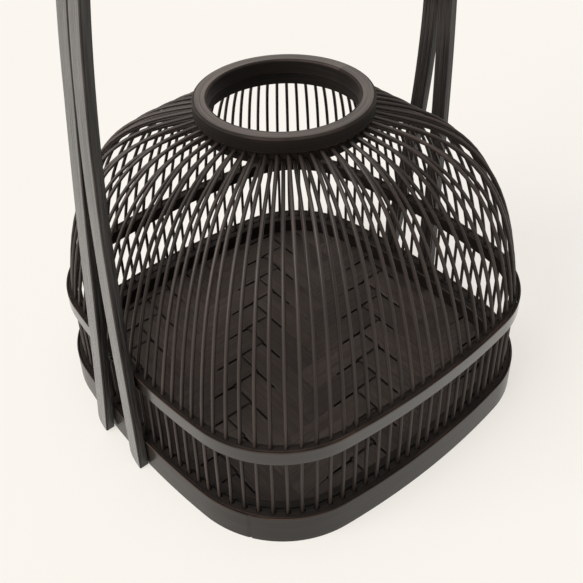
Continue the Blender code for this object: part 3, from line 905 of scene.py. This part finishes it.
def slat(name, sign, spread, tone, nodes):
    """One slat of the handle; sign is its side of the joint and spread how far its legs part."""
    line = handle_line()
    rng = random.Random(name)
    grooves = [((g + rng.uniform(*GROOVE_PLACE)) / GROOVES, rng.uniform(*GROOVE_DEPTH))
               for g in range(GROOVES)]
    sections, profiles, along = [], [], [0.0]
    inner, outer = -SLAT_THICK / 2, SLAT_THICK / 2
    for i, point in enumerate(line):
        before, after = line[max(i - 1, 0)], line[min(i + 1, len(line) - 1)]
        tangent = (after - before).normalized()
        normal = Vector((-tangent.z, 0.0, tangent.x))
        part = max(0.0, 1.0 - point.z / SPREAD_END)
        centre = SLAT_JOINT_Y + sign * (SLAT_WIDTH / 2 + CLEAR / 2
                                        + spread * part ** SPREAD_POWER)
        low, high = centre - SLAT_WIDTH / 2, centre + SLAT_WIDTH / 2
        if point.z < LEG_BOTTOM + TOE_HEIGHT:
            down = (LEG_BOTTOM + TOE_HEIGHT - point.z) / TOE_HEIGHT
            high = low + SLAT_WIDTH * max(TOE_WIDTH, math.sqrt(max(0.0, 1.0 - down * down)))
        ease = min(1.0, (high - low) / SLAT_WIDTH * TOE_EASE)
        profile = []
        for a, b, r, start in ((low, outer, SLAT_OUTER_EASE, 90),
                               (low, inner, SLAT_INNER_EASE, 180),
                               (high, inner, SLAT_INNER_EASE, 270),
                               (high, outer, SLAT_OUTER_EASE, 0)):
            r *= ease
            a += r if start in (90, 180) else -r
            b += -r if start in (90, 0) else r
            for k in range(5):
                turn = math.radians(start + 90 * k / 4)
                skin = 1.0 if (start == 0 and k >= 3) or (start == 90 and k == 0) else 0.0
                if k == 4 and start in (90, 270):
                    skin = SIDE_WAX
                profile.append((a + r * math.cos(turn), b + r * math.sin(turn),
                                math.sin(math.pi * k / 4), skin))
            if start == 180:
                flat = (high - low - 2 * r) / GROOVES
                for at, deep in grooves:
                    middle = a + flat * GROOVES * at
                    profile += [(middle - flat * GROOVE_HALF, inner, GROOVE_WORN, 0.0),
                                (middle, inner + deep * ease, 0.0, 0.0),
                                (middle + flat * GROOVE_HALF, inner, GROOVE_WORN, 0.0)]
        sections.append([Vector((point.x, y, point.z)) + normal * out
                         for y, out, _, _ in profile])
        profiles.append([(y - centre, out, worn, skin) for y, out, worn, skin in profile])
        if i:
            along.append(along[-1] + (point - line[i - 1]).length)
    solid = Solid()
    solid.sweep(sections, profiles, along, tone=tone)
    solid.finish(name, slat_finish, "stained_bamboo_slat", nodes)


base_and_mid_hoops()
woven_floor()
splints()
mouth_rings()
slat("handle_front_slat", -1.0, 0.0, 0.25, ["handle_slat_front"])
slat("handle_back_slat", 1.0, SPREAD, -0.25, ["handle_slat_back"])

# stage: pale cloth floor, which the camera sees as warm white with the soft shadow kept
STAGE_COLOUR = "#f7f3ec"
CLOTH_COLOUR = "#e4e0d9"
BACKDROP_COLOUR = "#fbf7ef"    # as pale as the lit cloth, so no horizon shows
GLOW_SHARE = 0.70              # the rest is cloth in the lamps' light, and keeps the shadow


def seen_directly(tree):
    """1 for the rays on which the background must show as it is written."""
    ray = add(tree, "ShaderNodeLightPath").outputs
    either = calc(tree, "MAXIMUM", ray["Is Camera Ray"], ray["Is Glossy Ray"])
    return calc(tree, "MAXIMUM", either, ray["Is Transmission Ray"])


def stage():
    mat = bpy.data.materials.new("pale_cloth_floor")
    mat.use_nodes = True
    tree = mat.node_tree
    tree.nodes.clear()
    cloth = add(tree, "ShaderNodeBsdfDiffuse", {"Color": linear(CLOTH_COLOUR)})
    glow = add(tree, "ShaderNodeEmission", {"Color": linear(STAGE_COLOUR), "Strength": 1.0})
    share = calc(tree, "MULTIPLY", seen_directly(tree), GLOW_SHARE)
    mixed = add(tree, "ShaderNodeMixShader", {0: share, 1: cloth.outputs[0],
                                              2: glow.outputs[0]})
    add(tree, "ShaderNodeOutputMaterial", {"Surface": mixed.outputs[0]})
    mesh = bpy.data.meshes.new("stage_floor")
    reach = 6.0
    mesh.from_pydata([(-reach, -reach, 0), (reach, -reach, 0), (reach, reach, 0),
                      (-reach, reach, 0)], [], [(0, 1, 2, 3)])
    mesh.materials.append(mat)
    floor = bpy.data.objects.new("stage_floor", mesh)
    bpy.context.collection.objects.link(floor)

    world = bpy.data.worlds.new("soft_room")
    world.use_nodes = True
    bpy.context.scene.world = world
    tree = world.node_tree
    tree.nodes.clear()
    room = add(tree, "ShaderNodeBackground", {"Color": (1, 1, 1, 1), "Strength": 0.17})
    back = add(tree, "ShaderNodeBackground", {"Color": linear(BACKDROP_COLOUR), "Strength": 1.0})
    mixed = add(tree, "ShaderNodeMixShader", {0: seen_directly(tree), 1: room.outputs[0],
                                              2: back.outputs[0]})
    add(tree, "ShaderNodeOutputWorld", {"Surface": mixed.outputs[0]})


def lamp(name, place, spread, strength):
    """Soft light from the side of place, even over the whole stage; spread is in degrees."""
    light = bpy.data.lights.new(name, "SUN")
    light.angle = math.radians(spread)
    light.energy = strength
    obj = bpy.data.objects.new(name, light)
    obj.location = place
    obj.rotation_euler = (-Vector(place)).to_track_quat("-Z", "Y").to_euler()
    bpy.context.collection.objects.link(obj)


def camera():
    """The photograph's view; the image is 583 by 583 and its centre lies off the middle."""
    size, focal, centre = 583.0, 860.968, (233.625, 205.0)
    position = (-0.27239, -0.31803, 0.41116)
    azimuth, elevation, roll = (math.radians(a) for a in (-36.3618, 34.4943, -3.7806))
    back = Vector((math.sin(azimuth) * math.cos(elevation),
                   -math.cos(azimuth) * math.cos(elevation), math.sin(elevation)))
    right = Vector((0.0, 0.0, 1.0)).cross(back).normalized()
    up = back.cross(right)
    x_axis = right * math.cos(roll) + up * math.sin(roll)
    y_axis = up * math.cos(roll) - right * math.sin(roll)
    data = bpy.data.cameras.new("photograph_view")
    data.sensor_width = 36.0
    data.lens = focal / size * data.sensor_width
    data.shift_x = (size / 2 - centre[0]) / size
    data.shift_y = (centre[1] - size / 2) / size
    data.clip_start = 0.01
    obj = bpy.data.objects.new("photograph_view", data)
    turn = Matrix((x_axis, y_axis, back)).transposed().to_4x4()
    obj.matrix_world = Matrix.Translation(position) @ turn
    bpy.context.collection.objects.link(obj)
    bpy.context.scene.camera = obj


stage()
lamp("window_left", (-2.9, 0.5, 1.7), 50, 3.8)
lamp("ceiling", (-0.1, 0.1, 2.2), 60, 1.8)
camera()
bpy.context.scene.view_settings.view_transform = "Standard"
